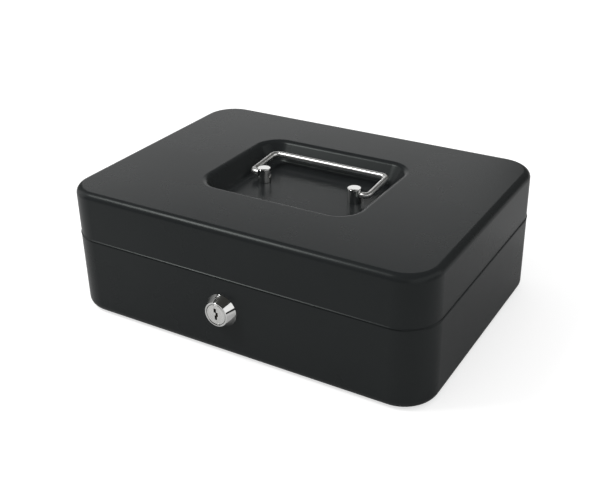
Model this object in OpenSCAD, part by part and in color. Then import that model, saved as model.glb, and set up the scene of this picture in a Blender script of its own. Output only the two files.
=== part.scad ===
// Steel cash box: a drawn base, a hinged lid with a carrying handle in a pressed pan,
// a wafer cam lock and a lift-out coin tray.
// Millimetres. +Z is up, the lock faces -Y, and the origin is the centre of the underside.

/* [Box] */
// Width over the lid
box_w = 250; // [236:1:300]
// Depth over the lid
box_d = 180; // [170:1:220]
// Height to the top of the lid
box_h = 85; // [83:0.5:110]
// Height of the lid's lower edge
seam_h = 54.3; // [53.5:0.1:56]
// Radius of the upright corners
corner_r = 22.5; // [18:0.5:26]
// Outside radius of the lid's top edge
lid_edge_r = 4.7; // [2.5:0.1:8]
// Outside radius of the base's bottom edge
base_edge_r = 6; // [3:0.1:9]
// Thickness of the steel sheet
sheet_t = 1; // [0.8:0.05:1.2]

/* [Seam] */
// How far the base stands in from the lid's outer face
base_inset = 0.2; // [0:0.05:0.3]
// Outside radius of the rolled shoulder under the lid
shoulder_r = 1.3; // [0.8:0.1:1.6]
// Gap between the shoulder and the lid's lower edge
seam_gap = 0.4; // [0.3:0.05:0.7]
// Gap between the upstand and the lid's inner face
lip_gap = 1; // [0.8:0.1:1.4]
// Height of the upstand above the shoulder
lip_h = 6; // [4:0.5:6.5]

/* [Handle pan] */
// Width of the pan at the top
pan_w = 115; // [108:1:130]
// Depth of the pan at the top, front to back
pan_d = 92; // [86:1:104]
// How far the pan's centre lies behind the box's centre
pan_y = 1.5; // [-4:0.5:6]
// Corner radius of the pan at the top
pan_r = 18; // [14:0.5:22]
// How deep the pan is pressed
pan_depth = 12.5; // [11.5:0.5:14.5]
// Slope of the pan's walls from level
pan_slope = 54; // [50:1:70]
// Outside radius of the pan's lip
pan_lip_r = 4.5; // [2:0.25:5]
// Inside radius round the pan's floor
pan_floor_r = 3.5; // [1.5:0.25:4]

/* [Handle] */
// Distance between the posts' axes
post_spacing = 67; // [60:1:74]
// Diameter of a post
post_d = 8.8; // [8:0.1:9.6]
// Height of a post above the pan's floor
post_h = 9.5; // [9:0.25:12]
// Distance of the posts in front of the pan's centre line or behind it
post_y = 2; // [-4:0.5:4]
// Height of the bail's pivot above the pan's floor
pivot_h = 5.5; // [5.25:0.25:6]
// Diameter of the bail's wire
wire_d = 4; // [3.4:0.1:4.2]
// Radial clearance of the wire in a post
pivot_gap = 0.05; // [0.02:0.01:0.1]
// Distance between the arms' axes
bail_w = 85.8; // [83.8:0.2:90]
// Pivot to the middle of the grip
bail_reach = 29; // [26:0.5:31]
// Bend radius at the grip, on the wire's axis
grip_bend_r = 4.5; // [3.5:0.25:8]
// Bend radius at the pivots, on the wire's axis
foot_bend_r = 3.5; // [2.5:0.25:4]
// How far the resting bail points up from level
bail_rest_angle = 4; // [0:1:20]
// Diameter of the post screws
screw_d = 4; // [3:0.5:4]

/* [Hinge] */
// Length of the hinge
hinge_len = 190; // [150:2:196]
// Number of knuckles, an odd number
knuckles = 9; // [5:2:13]
// Outside radius of a knuckle
knuckle_r = 2.2; // [1.9:0.05:2.3]
// Diameter of the hinge pin
hinge_pin_d = 2.6; // [2:0.1:3]
// Radial clearance of the pin in the knuckles
pin_gap = 0.05; // [0.02:0.01:0.1]
// Gap between neighbouring knuckles
knuckle_gap = 0.4; // [0.3:0.05:1]
// Thickness of the hinge leaves
leaf_t = 0.8; // [0.6:0.1:1]
// How far each leaf reaches from the pin
leaf_reach = 15; // [10:1:20]
// How far the rear edges are cut back from the pin
hinge_relief = 2.6; // [2.5:0.05:3]

/* [Lock] */
// Lock axis, sideways from the centre
lock_x = -5.75; // [-12:0.25:12]
// Lock axis above the underside
lock_z = 31.25; // [30:0.25:32]
// Radius of the collar at the wall
collar_r = 10.6; // [9.6:0.1:12]
// Radius of the collar's front face
collar_face_r = 7.9; // [7.3:0.1:9]
// How far the collar stands out
collar_h = 6; // [4:0.1:8]
// Diameter of the threaded barrel
barrel_d = 16; // [15.5:0.1:16.5]
// Width over the barrel's flats
barrel_flats = 14.6; // [14.2:0.1:15.2]
// Length of the barrel behind the wall's outer face
barrel_len = 17; // [16:0.5:18]
// Diameter of the plug
plug_d = 13; // [12:0.1:13.2]
// Radial clearance of the plug in the housing
plug_gap = 0.05; // [0.02:0.01:0.1]
// Number of wafers
wafers = 5; // [3:1:6]
// Distance between wafers
wafer_pitch = 2.6; // [2.2:0.1:2.8]
// Width of the keyway
keyway_w = 1.3; // [0.9:0.1:1.6]
// Thickness of the cam
cam_t = 1.5; // [1:0.1:2]
// Inside radius of the cam's finger
finger_in_r = 14.5; // [14:0.25:15]
// Width of the cam's finger
finger_w = 4; // [3:0.25:4.5]

/* [Catch] */
// Thickness of the catch
catch_t = 1.5; // [1:0.1:2]
// Clearance round the cam's finger, up and down
slot_gap = 1; // [0.6:0.1:1.2]
// Length of the catch's slot, front to back
slot_len = 5.4; // [5:0.1:6.5]
// Width of the metal round the slot
slot_rim = 2.6; // [2:0.1:3]
// Height of the catch's arm
catch_arm_h = 7; // [5:0.5:8]
// Width of the foot that is welded to the lid
catch_foot_w = 16; // [12:1:24]

/* [Coin tray] */
// Height of the tray
tray_h = 28; // [24:1:29]
// Height of the ledges under the tray
ledge_z = 30; // [28:0.5:31]
// Gap between the tray and the ledges
tray_seat_gap = 0.3; // [0.2:0.05:0.5]
// Gap between the tray and the base's upstand
tray_side_gap = 1.5; // [0.6:0.1:2]
// Wall thickness of the tray
tray_t = 1.8; // [1.4:0.1:2.4]
// Number of coin wells
coin_wells = 5; // [3:1:6]
// Length of a coin well, front to back
coin_len = 73; // [60:1:80]
// Width of the bars between wells
tray_bar = 4; // [3.6:0.1:6]
// Width of a ledge
ledge_w = 12; // [8:1:16]
// Thickness of a ledge
ledge_t = 1.2; // [1:0.1:1.5]
// Length of a ledge, front to back
ledge_len = 110; // [60:5:120]

/* [Hidden] */
$fn = 72;
eps = 0.01;
over = 1;           // how far a cut runs past what it cuts
lap = 1;            // how far neighbouring stretches of one sheet run into each other

// Seam and walls
shoulder_z = seam_h - seam_gap;
lip_z = shoulder_z + lip_h;
base_w = box_w - 2 * base_inset;
base_d = box_d - 2 * base_inset;
base_corner_r = corner_r - base_inset;
lip_u = sheet_t + lip_gap - base_inset;     // the upstand's outer face, in from the base's
base_wall_x = base_w / 2 - sheet_t;         // inner faces
base_wall_y = base_d / 2 - sheet_t;
lid_wall_y = box_d / 2 - sheet_t;
lip_wall_x = base_w / 2 - lip_u - sheet_t;
lip_wall_y = base_d / 2 - lip_u - sheet_t;
lip_wall_r = base_corner_r - lip_u - sheet_t;

// Hinge
hinge_y = box_d / 2 - knuckle_r;
hinge_z = seam_h;
relief_y = hinge_y - hinge_relief / 2;
knuckle_pitch = (hinge_len + knuckle_gap) / knuckles;
pin_head_t = 0.8;
pin_head_rim = 0.5;
leaf_lid_y = lid_wall_y - leaf_t;
leaf_base_y = base_wall_y - leaf_t;

// Pan
pan_floor_z = box_h - pan_depth;
lip_centre = [pan_r, box_h - pan_lip_r];
pan_drop = pan_depth - (pan_lip_r + pan_floor_r) * (1 - cos(pan_slope));
pan_run = pan_drop / tan(pan_slope) + (pan_lip_r + pan_floor_r) * sin(pan_slope);
floor_centre = [pan_r - pan_run, pan_floor_z + pan_floor_r];

// Handle
post_at_y = pan_y + post_y;
pivot_z = pan_floor_z + pivot_h;
wire_r = wire_d / 2;
post_edge = 0.5;                            // chamfer round a post's top
wire_set_in = 0.6;                          // how far the wire's end lies inside the post
foot_end = post_spacing / 2 - post_d / 2 + wire_set_in;
under_bore = 1;                             // metal between the screw's hole and the wire's bore
post_screw_depth = pivot_h - wire_r - pivot_gap - under_bore;
screw_r = screw_d / 2;
screw_gap = 0.05;                           // between a screw and its threaded hole
screw_tip_gap = 0.3;                        // between a screw's tip and the end of its hole
screw_hole_gap = 0.2;                       // between a screw and the hole it passes through
screw_head_r = 0.9 * screw_d;
screw_head_h = 0.6 * screw_d;
post_washer_t = 0.8;
post_washer_r = screw_head_r + 1;

// Lock, in the lock's own frame: z runs outwards from the wall's outer face
lock_y = -base_d / 2;
barrel_hole_gap = 0.15;                     // round the barrel in the base's wall
thread_gap = 0.05;
collar_rim = 0.3;                           // chamfer round the collar's face
plug_r = plug_d / 2;
plug_edge = 0.3;                            // chamfer round the plug's face
plug_set_back = 0.1;
plug_end_gap = 0.3;
plug_end = -barrel_len - plug_end_gap;      // the plug's shoulder, behind the barrel
washer_t = 0.8;
washer_rim = 2.5;
nut_t = 3;
nut_rim = 3;                                // from the thread to the nut's flats
nut_af = barrel_d + 2 * nut_rim;
groove_r = plug_r + 0.8;                    // the groove that the wafers spring out into
groove_w = 3.4;
groove_stop = 1.5;                          // metal left at the barrel's end
wafer_t = 0.6;
wafer_w = 5;
wafer_tip_gap = 0.1;
wafer_h = 2 * (sqrt(plug_r * plug_r - wafer_w * wafer_w / 4) - wafer_tip_gap);
wafer_side_gap = 0.1;
window_rim = 0.65;                          // between the keyway and the wafer's window
window_low = -3.4;
window_high = 4.4;
keyway_bars = [[-0.35, 1.3, 4], [0.55, -0.9, 1.6], [-0.25, -3, -0.6]];  // middle, bottom, top
first_wafer = 2;
key_tip_room = 0.7;                         // of one pitch, behind the last wafer
tang_w = 6;
tang_gap = 0.05;
cam_z = plug_end - cam_t;
cam_hub_r = 7;
cam_screw_r = 1.5;
cam_screw_len = 5;                          // below its head
cam_screw_head_r = 2.9;
cam_screw_head_h = 2;
cam_washer_t = 0.7;
cam_washer_r = 5;
cross_w = 0.7;                              // arms of the cross in the cam screw's head
cross_len = 3.2;
finger_out_r = finger_in_r + finger_w;
finger_from = -106;                         // clockwise from the top, lock open
finger_to = -48;
cam_arm_w = 6;
spring_r = 0.6;
spring_wire = 0.3;
spring_x = 3.5;
spring_len = 3.3;
spring_gap = 0.1;
ear_h = 1.2;

// Catch
cam_y = lock_y - cam_z - cam_t / 2;         // middle of the cam, front to back
catch_x = 0;
catch_lip_gap = 1.2;                        // between the arm and the upstand under it
catch_edge_gap = 4.2;                       // between the foot and the lid's rounded edge
reach_x = catch_x - lock_x;
slot_low = lock_z + sqrt(pow(finger_in_r, 2) - pow(abs(reach_x) + catch_t / 2, 2)) - slot_gap;
slot_high = lock_z + sqrt(pow(finger_out_r, 2) - pow(max(abs(reach_x) - catch_t / 2, 0), 2)) + slot_gap;
catch_arm_z = lip_z + catch_lip_gap;
catch_foot_top = box_h - lid_edge_r - catch_edge_gap;

// Tray
tray_z = ledge_z + tray_seat_gap;
tray_x = lip_wall_x - tray_side_gap;
tray_back = min(lip_wall_y, hinge_y - knuckle_r) - tray_side_gap;
catch_swing_gap = 3.5;                      // room behind the catch as it swings up
tray_front = cam_y + slot_len / 2 + slot_rim + catch_swing_gap;
tray_corner_r = lip_wall_r - tray_side_gap;
tray_front_r = 6;
tray_top = tray_z + tray_h;
well_w = (2 * (tray_x - tray_bar) - (coin_wells - 1) * tray_bar) / coin_wells;
tray_foot = 2;                              // between the wells and the tray's lower edge
well_depth = tray_h - tray_t - tray_foot;
coin_r = (pow(coin_len / 2, 2) + pow(well_depth, 2)) / (2 * well_depth);
flat_r = 6;
flat_share = 0.66;
ledge_from = (tray_back + tray_front - ledge_len) / 2;

// ---- Shared shapes ----

// A flat shape with four round corners
module round_rect(w, d, r) {
    square([w - 2 * r, d], center = true);
    square([w, d - 2 * r], center = true);
    for (x = [-1, 1], y = [-1, 1])
        translate([x * (w / 2 - r), y * (d / 2 - r)]) circle(r);
}

// Sweeps a profile round a rectangle with round corners. The profile's x is the
// distance from the corner's axis, and its y is the height.
module sweep_round(w, d, r) {
    for (i = [0:3]) {
        side = i % 2 == 0 ? w : d;
        run = i % 2 == 0 ? d : w;
        rotate([0, 0, 90 * i]) translate([side / 2 - r, run / 2 - r, 0]) {
            rotate_extrude(angle = 90) children();
            rotate([90, 0, 0]) linear_extrude(run - 2 * r) children();
        }
    }
}

// What rounding takes off a square corner: side is -1 for a lower corner, 1 for an upper one
module corner_off(x, z, r, side) {
    translate([x - r, z - side * r]) difference() {
        translate([0, side > 0 ? 0 : -r - over]) square([r + over, r + over]);
        circle(r);
    }
}

// What a bend adds inside a square corner that opens outwards and upwards
module bend_fill(x, z, r) {
    translate([x + r, z + r]) difference() {
        translate([-r - eps, -r - eps]) square([r + eps, r + eps]);
        circle(r);
    }
}

// A block from the corner's axis out to x1, with its outer corners rounded
module wall_block(x1, z0, z1, r_low, r_high) {
    difference() {
        translate([0, z0]) square([x1, z1 - z0]);
        if (r_low > 0) corner_off(x1, z0, r_low, -1);
        if (r_high > 0) corner_off(x1, z1, r_high, 1);
    }
}

// A cylinder along X, centred on the origin
module rod_x(r, len) {
    rotate([0, 90, 0]) cylinder(r = r, h = len, center = true);
}

// ---- Base ----

module base_profile() {
    lip_x = base_corner_r - lip_u;
    difference() {
        union() {
            wall_block(base_corner_r, 0, shoulder_z, base_edge_r, shoulder_r);
            translate([0, shoulder_z - over]) square([lip_x, lip_h + over]);
            bend_fill(lip_x, shoulder_z, lip_u - shoulder_r);
        }
        wall_block(base_corner_r - sheet_t, sheet_t, shoulder_z - sheet_t,
            base_edge_r - sheet_t, max(shoulder_r - sheet_t, 0.2));
        translate([0, sheet_t + over]) square([lip_x - sheet_t, lip_z]);
    }
}

module base_shell() {
    color("#2e3032") difference() {
        union() {
            sweep_round(base_w, base_d, base_corner_r) base_profile();
            translate([-base_w / 2 + base_corner_r, -base_d / 2 + base_corner_r, 0])
                cube([base_w - 2 * base_corner_r, base_d - 2 * base_corner_r, sheet_t]);
        }
        translate([-box_w / 2, relief_y, hinge_z - hinge_relief])
            cube([box_w, box_d, lip_z]);
        lock_place() barrel_section(barrel_hole_gap, sheet_t + over, over);
    }
}

module tray_ledge(side) {
    x_out = side * base_wall_x;
    x_low = min(x_out, x_out - side * ledge_t);
    x_flat = min(x_out, x_out - side * ledge_w);
    color("#3a3c3e") union() {
        translate([x_low, ledge_from, ledge_z - ledge_w]) cube([ledge_t, ledge_len, ledge_w]);
        translate([x_flat, ledge_from, ledge_z - ledge_t]) cube([ledge_w, ledge_len, ledge_t]);
    }
}

module tray_ledge_left() tray_ledge(-1);
module tray_ledge_right() tray_ledge(1);

// ---- Hinge ----

// The knuckles of one leaf: first is 0 for the base's and 1 for the lid's
module knuckle_row(first) {
    for (i = [first:2:knuckles - 1])
        translate([(i - (knuckles - 1) / 2) * knuckle_pitch, hinge_y, hinge_z])
            children();
}

// One leaf, with its back at leaf_y and reaching up (1) or down (-1) from the pin
module hinge_leaf(first, leaf_y, way) {
    width = knuckle_pitch - knuckle_gap;
    color("#b8bab8") difference() {
        union() {
            translate([-hinge_len / 2, leaf_y, hinge_z + (way > 0 ? hinge_relief : -leaf_reach)])
                cube([hinge_len, leaf_t, leaf_reach - hinge_relief]);
            knuckle_row(first) {
                rod_x(knuckle_r, width);
                translate([-width / 2, leaf_y - hinge_y, way > 0 ? 0 : -leaf_reach / 2])
                    cube([width, leaf_t, leaf_reach / 2]);
            }
        }
        translate([0, hinge_y, hinge_z]) rod_x(hinge_pin_d / 2 + pin_gap, hinge_len + 2 * over);
    }
}

module hinge_leaf_base() hinge_leaf(0, leaf_base_y, -1);
module hinge_leaf_lid() hinge_leaf(1, leaf_lid_y, 1);

module hinge_pin() {
    color("#c9cbca") translate([0, hinge_y, hinge_z]) union() {
        rod_x(hinge_pin_d / 2, hinge_len + 2 * eps);
        for (side = [-1, 1])
            translate([side * (hinge_len + pin_head_t) / 2, 0, 0])
                rod_x(hinge_pin_d / 2 + pin_head_rim, pin_head_t);
    }
}

// ---- Lid ----

module lid_edge_profile() {
    difference() {
        wall_block(corner_r, seam_h, box_h, 0, lid_edge_r);
        wall_block(corner_r - sheet_t, seam_h - over, box_h - sheet_t, 0, lid_edge_r - sheet_t);
    }
}

// Everything below the pan's surface, with the surface moved down by inset. The wall runs
// between two arcs that it touches: one at the floor and one at the lip. Outside the lip a
// flat margin laps the lid's top.
module pan_below(inset) {
    lip_r = pan_lip_r - inset;
    floor_r = pan_floor_r + inset;
    off_wall = [-sin(pan_slope), cos(pan_slope)];
    deep = pan_floor_z - 3 * sheet_t;
    intersection() {
        union() {
            difference() {
                polygon([
                    [0, deep],
                    [0, pan_floor_z - inset],
                    [floor_centre[0], pan_floor_z - inset],
                    floor_centre,
                    floor_centre - floor_r * off_wall,
                    lip_centre + lip_r * off_wall,
                    [pan_r, box_h - inset],
                    [pan_r, deep]
                ]);
                translate(floor_centre) circle(floor_r);
            }
            translate(lip_centre) circle(lip_r);
        }
        translate([0, deep]) square([pan_r, box_h - deep]);
    }
    translate([pan_r - eps, deep]) square([lap + eps, box_h - inset - deep]);
}

module pan_profile() {
    difference() {
        pan_below(0);
        pan_below(sheet_t);
    }
}

module lid_shell() {
    color("#2e3032") difference() {
        union() {
            sweep_round(box_w, box_d, corner_r) lid_edge_profile();
            translate([0, 0, box_h - sheet_t]) linear_extrude(sheet_t) difference() {
                square([box_w - 2 * corner_r + 2 * lap, box_d - 2 * corner_r + 2 * lap], center = true);
                translate([0, pan_y]) round_rect(pan_w, pan_d, pan_r);
            }
            translate([0, pan_y, 0]) {
                sweep_round(pan_w, pan_d, pan_r) pan_profile();
                translate([0, 0, pan_floor_z - sheet_t / 2])
                    cube([pan_w - 2 * pan_r, pan_d - 2 * pan_r, sheet_t], center = true);
            }
        }
        translate([-box_w / 2, relief_y, hinge_z - over])
            cube([box_w, box_d, hinge_relief + over]);
        for (side = [-1, 1])
            translate([side * post_spacing / 2, post_at_y, pan_floor_z - sheet_t - over])
                cylinder(r = screw_r + screw_hole_gap, h = sheet_t + 2 * over);
    }
}

// Catch: a foot on the lid's front wall, an arm over the upstand and a slotted hook
module lid_catch() {
    arm_from = -lid_wall_y;
    slot_from = cam_y - slot_len / 2;
    hook_from = slot_from - slot_rim;
    hook_to = slot_from + slot_len + slot_rim;
    hook_low = slot_low - slot_rim;
    color("#b8bab8") translate([catch_x - catch_t / 2, 0, 0]) difference() {
        union() {
            translate([0, arm_from, catch_arm_z])
                cube([catch_foot_w, catch_t, catch_foot_top - catch_arm_z]);
            translate([0, arm_from, catch_arm_z]) cube([catch_t, hook_to - arm_from, catch_arm_h]);
            translate([0, hook_from, hook_low])
                cube([catch_t, hook_to - hook_from, catch_arm_z + catch_arm_h - hook_low]);
        }
        translate([-over, slot_from, slot_low])
            cube([catch_t + 2 * over, slot_len, slot_high - slot_low]);
    }
}

// ---- Handle ----

module handle_post(side) {
    color("#d8d9d8") translate([side * post_spacing / 2, post_at_y, pan_floor_z]) difference() {
        union() {
            cylinder(r = post_d / 2, h = post_h - post_edge);
            translate([0, 0, post_h - post_edge])
                cylinder(r1 = post_d / 2, r2 = post_d / 2 - post_edge, h = post_edge);
        }
        translate([0, 0, pivot_h]) rod_x(wire_r + pivot_gap, post_d + 2 * over);
        translate([0, 0, -over]) cylinder(r = screw_r, h = post_screw_depth + over);
    }
}

module handle_post_left() handle_post(-1);
module handle_post_right() handle_post(1);

module under_posts() {
    for (side = [-1, 1])
        translate([side * post_spacing / 2, post_at_y, pan_floor_z - sheet_t]) children();
}

module post_washers() {
    color("#c9cbca") under_posts() translate([0, 0, -post_washer_t]) difference() {
        cylinder(r = post_washer_r, h = post_washer_t);
        translate([0, 0, -over]) cylinder(r = screw_r + screw_hole_gap, h = post_washer_t + 2 * over);
    }
}

module post_screws() {
    slit_w = 0.25 * screw_d;
    slit_depth = 0.5 * screw_head_h;
    color("#c9cbca") under_posts() translate([0, 0, -post_washer_t]) difference() {
        union() {
            translate([0, 0, -screw_head_h])
                cylinder(r1 = 0.8 * screw_head_r, r2 = screw_head_r, h = screw_head_h);
            cylinder(r = screw_r - screw_gap, h = post_washer_t + sheet_t + post_screw_depth - screw_tip_gap);
        }
        for (turn = [0, 90])
            rotate([0, 0, turn]) translate([0, 0, -screw_head_h + (slit_depth - over) / 2])
                cube([screw_d, slit_w, slit_depth + over], center = true);
    }
}

// A quarter bend of the wire: it leaves the origin along +Y and turns towards +X
module wire_bend(r) {
    translate([r, 0, 0]) rotate([0, 0, 90]) rotate_extrude(angle = 90) translate([r, 0]) circle(wire_r);
}

// One side of the bail, lying level, from the middle of the grip to the end in the post
module bail_half(side) {
    arm_x = bail_w / 2;
    mirror([side > 0 ? 1 : 0, 0, 0]) {
        translate([-arm_x + foot_bend_r, 0, 0]) rotate([0, 90, 0])
            cylinder(r = wire_r, h = arm_x - foot_bend_r - foot_end);
        translate([-arm_x, foot_bend_r, 0]) mirror([0, 1, 0]) wire_bend(foot_bend_r);
        translate([-arm_x, foot_bend_r, 0]) rotate([-90, 0, 0])
            cylinder(r = wire_r, h = bail_reach - foot_bend_r - grip_bend_r);
        translate([-arm_x, bail_reach - grip_bend_r, 0]) wire_bend(grip_bend_r);
        translate([-arm_x + grip_bend_r, bail_reach, 0]) rotate([0, 90, 0])
            cylinder(r = wire_r, h = arm_x - grip_bend_r);
    }
}

module handle_bail() {
    color("#d8d9d8") translate([0, post_at_y, pivot_z]) rotate([bail_rest_angle, 0, 0]) union() {
        bail_half(-1);
        bail_half(1);
    }
}

// ---- Lock ----

module lock_place() {
    translate([lock_x, lock_y, lock_z]) rotate([90, 0, 0]) children();
}

// The barrel's flatted section, grown by gap, from below z = -back up to z = front
module barrel_section(gap, back, front) {
    width = barrel_flats + 2 * gap;
    translate([0, 0, -back]) intersection() {
        cylinder(r = barrel_d / 2 + gap, h = back + front);
        translate([-width / 2, -barrel_d, 0]) cube([width, 2 * barrel_d, back + front]);
    }
}

module lock_housing() {
    bore_r = plug_r + plug_gap;
    color("#d8d9d8") lock_place() difference() {
        union() {
            cylinder(r1 = collar_r, r2 = collar_face_r, h = collar_h - collar_rim);
            translate([0, 0, collar_h - collar_rim])
                cylinder(r1 = collar_face_r, r2 = collar_face_r - collar_rim, h = collar_rim);
            barrel_section(0, barrel_len, over);
        }
        translate([0, 0, -barrel_len - over]) cylinder(r = bore_r, h = barrel_len + collar_h + 2 * over);
        translate([-groove_w / 2, -groove_r, -barrel_len + groove_stop])
            cube([groove_w, 2 * groove_r, barrel_len + first_wafer]);
    }
}

module lock_washer() {
    color("#c9cbca") lock_place() translate([0, 0, -sheet_t - washer_t]) difference() {
        cylinder(r = barrel_d / 2 + washer_rim, h = washer_t);
        translate([0, 0, -over]) cylinder(r = barrel_d / 2 + barrel_hole_gap, h = washer_t + 2 * over);
    }
}

module lock_nut() {
    color("#c9cbca") lock_place() translate([0, 0, -sheet_t - washer_t - nut_t]) difference() {
        rotate([0, 0, 30]) cylinder(r = nut_af / 2 / cos(30), h = nut_t, $fn = 6);
        translate([0, 0, -over]) cylinder(r = barrel_d / 2 + thread_gap, h = nut_t + 2 * over);
    }
}

// Places one child at each wafer, with z in the wafer's middle
module each_wafer() {
    for (i = [0:wafers - 1])
        translate([0, 0, first_wafer - i * wafer_pitch]) children();
}

// The keyway's section: stacked bars that step to and fro
module keyway_section() {
    for (bar = keyway_bars)
        translate([bar[0] - keyway_w / 2, bar[1]]) square([keyway_w, bar[2] - bar[1]]);
}

module lock_plug() {
    front = collar_h - plug_set_back;
    slot_t = wafer_t + 2 * wafer_side_gap;
    slot_w = wafer_w + 2 * wafer_side_gap;
    ear_x = spring_x + spring_r + wafer_side_gap;
    color("#cfd0ce") lock_place() difference() {
        union() {
            translate([0, 0, plug_end]) cylinder(r = plug_r, h = front - plug_edge - plug_end);
            translate([0, 0, front - plug_edge])
                cylinder(r1 = plug_r, r2 = plug_r - plug_edge, h = plug_edge);
            translate([0, 0, plug_end - (cam_t - 2 * tang_gap) / 2])
                cube([tang_w, tang_w, cam_t - 2 * tang_gap + 2 * eps], center = true);
        }
        translate([0, 0, first_wafer - (wafers - 1 + key_tip_room) * wafer_pitch])
            linear_extrude(collar_h + wafers * wafer_pitch) keyway_section();
        each_wafer() {
            cube([slot_w, plug_d + over, slot_t], center = true);
            translate([0, -spring_len - spring_gap, -slot_t / 2])
                cube([ear_x, spring_len + ear_h + 3 * spring_gap, slot_t]);
            translate([spring_x, -spring_len - spring_gap, 0]) rotate([-90, 0, 0])
                cylinder(r = spring_r + spring_gap, h = spring_len + spring_gap);
        }
        translate([0, 0, cam_z - over])
            cylinder(r = cam_screw_r, h = over - cam_washer_t + cam_screw_len + screw_tip_gap);
    }
}

module lock_wafers() {
    window_w = keyway_w + 2 * window_rim;
    color("#b99a4a") lock_place() each_wafer() translate([0, 0, -wafer_t / 2]) difference() {
        union() {
            translate([-wafer_w / 2, -wafer_h / 2, 0]) cube([wafer_w, wafer_h, wafer_t]);
            cube([spring_x + spring_r, ear_h, wafer_t]);
        }
        translate([-window_w / 2, window_low, -over])
            cube([window_w, window_high - window_low, wafer_t + 2 * over]);
    }
}

// Each spring is close-wound, so its turns touch and make one ribbed sleeve
module lock_wafer_springs() {
    turns = floor(spring_len / spring_wire);
    ribs = [for (i = [0:turns - 1], side = [0, 1])
        [side == 0 ? spring_r - spring_wire / 3 : spring_r, (i + side / 2) * spring_len / turns]];
    color("#c9cbca") lock_place() each_wafer() translate([spring_x, -spring_len, 0]) rotate([-90, 0, 0])
        rotate_extrude($fn = 24) polygon(concat(
            [[spring_r - spring_wire, 0]],
            ribs,
            [[spring_r - spring_wire / 3, spring_len], [spring_r - spring_wire, spring_len]]
        ));
}

// Points on a fan of directions, in degrees clockwise from the top
function fan(r, from, to, steps) = [
    for (i = [0:steps]) let (a = from + (to - from) * i / steps) [r * sin(a), r * cos(a)]
];

module lock_cam() {
    arm_at = finger_from + asin(cam_arm_w / 2 / finger_out_r);
    color("#b8bab8") lock_place() translate([0, 0, cam_z]) linear_extrude(cam_t) difference() {
        union() {
            circle(cam_hub_r);
            intersection() {
                circle(finger_out_r);
                rotate(-arm_at) translate([-cam_arm_w / 2, 0]) square([cam_arm_w, finger_out_r + over]);
            }
            intersection() {
                difference() {
                    circle(finger_out_r);
                    circle(finger_in_r);
                }
                polygon(concat([[0, 0]], fan(2 * finger_out_r, finger_from, finger_to, 4)));
            }
        }
        square(tang_w + 2 * tang_gap, center = true);
    }
}

module cam_washer() {
    color("#c9cbca") lock_place() translate([0, 0, cam_z - cam_washer_t]) difference() {
        cylinder(r = cam_washer_r, h = cam_washer_t);
        translate([0, 0, -over]) cylinder(r = cam_screw_r + screw_hole_gap, h = cam_washer_t + 2 * over);
    }
}

module cam_screw() {
    color("#c9cbca") lock_place() translate([0, 0, cam_z - cam_washer_t]) difference() {
        union() {
            translate([0, 0, -cam_screw_head_h])
                cylinder(r1 = 0.8 * cam_screw_head_r, r2 = cam_screw_head_r, h = cam_screw_head_h);
            cylinder(r = cam_screw_r - screw_gap, h = cam_screw_len);
        }
        for (turn = [0, 90])
            rotate([0, 0, turn]) translate([0, 0, -cam_screw_head_h])
                cube([cross_len, cross_w, cam_screw_head_h], center = true);
    }
}

// ---- Coin tray ----

module tray_outline(inset) {
    w = 2 * (tray_x - inset);
    d = tray_back - tray_front - 2 * inset;
    mid = (tray_back + tray_front) / 2;
    translate([0, mid]) round_rect(w, d, tray_corner_r - inset);
    translate([0, mid - d / 4]) round_rect(w, d / 2, tray_front_r - inset);
}

// Places one child at each coin well, centred on the well at the tray's top
module each_coin_well() {
    well_y = tray_front + tray_bar + coin_len / 2;
    for (i = [0:coin_wells - 1])
        translate([(i - (coin_wells - 1) / 2) * (well_w + tray_bar), well_y, tray_top])
            children();
}

// A scooped well: part of a cylinder that lies along X, grown by wall
module coin_scoop(wall) {
    intersection() {
        translate([0, 0, coin_r - well_depth]) rod_x(coin_r + wall, well_w + 2 * wall);
        translate([0, 0, wall > 0 ? -tray_h / 2 - tray_t / 2 : -tray_h / 2 + over])
            cube([well_w + 3 * wall, 2 * coin_len, tray_h], center = true);
    }
}

// Flat-floored wells behind the coins: i is 0 on the left and 1 on the right
module flat_well(i, wall) {
    all_w = 2 * (tray_x - tray_bar) - tray_bar;
    left_w = all_w * flat_share;
    w = i == 0 ? left_w : all_w - left_w;
    x = i == 0 ? -tray_x + tray_bar + left_w / 2 : tray_x - tray_bar - (all_w - left_w) / 2;
    y0 = tray_front + 2 * tray_bar + coin_len;
    d = tray_back - tray_bar - y0;
    translate([x, y0 + d / 2, tray_top - well_depth - wall])
        linear_extrude(wall > 0 ? well_depth : well_depth + over)
            round_rect(w + 2 * wall, d + 2 * wall, flat_r + wall);
}

module coin_tray() {
    color("#26282a") difference() {
        union() {
            translate([0, 0, tray_z]) linear_extrude(tray_h) difference() {
                tray_outline(0);
                tray_outline(tray_t);
            }
            translate([0, 0, tray_top - tray_t]) linear_extrude(tray_t) tray_outline(tray_t / 2);
            each_coin_well() coin_scoop(tray_t);
            for (i = [0, 1]) flat_well(i, tray_t);
        }
        each_coin_well() coin_scoop(0);
        for (i = [0, 1]) flat_well(i, 0);
    }
}

base_shell();
hinge_leaf_base();
hinge_pin();
tray_ledge_left();
tray_ledge_right();
lock_housing();
lock_washer();
lock_nut();
lid_shell();
hinge_leaf_lid();
lid_catch();
handle_post_left();
handle_post_right();
post_washers();
post_screws();
handle_bail();
lock_plug();
lock_wafers();
lock_wafer_springs();
lock_cam();
cam_washer();
cam_screw();
coin_tray();
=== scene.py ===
# %% [markdown]
# # Dressing a steel cash box
# This script takes a finished mechanical model of a cash box and gives it its looks: drawn
# steel shells with soft edges, a fine powder coat, chrome on the lock and handle, and a
# moulded coin tray. The model arrives as a fixed frame of named nodes. Every piece made
# here rides on one of the frame's bodies, so the lid, handle, lock and tray still move.

# %% The frame and the tools
import math

import bmesh
import bpy
from mathutils import Matrix, Vector


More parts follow.
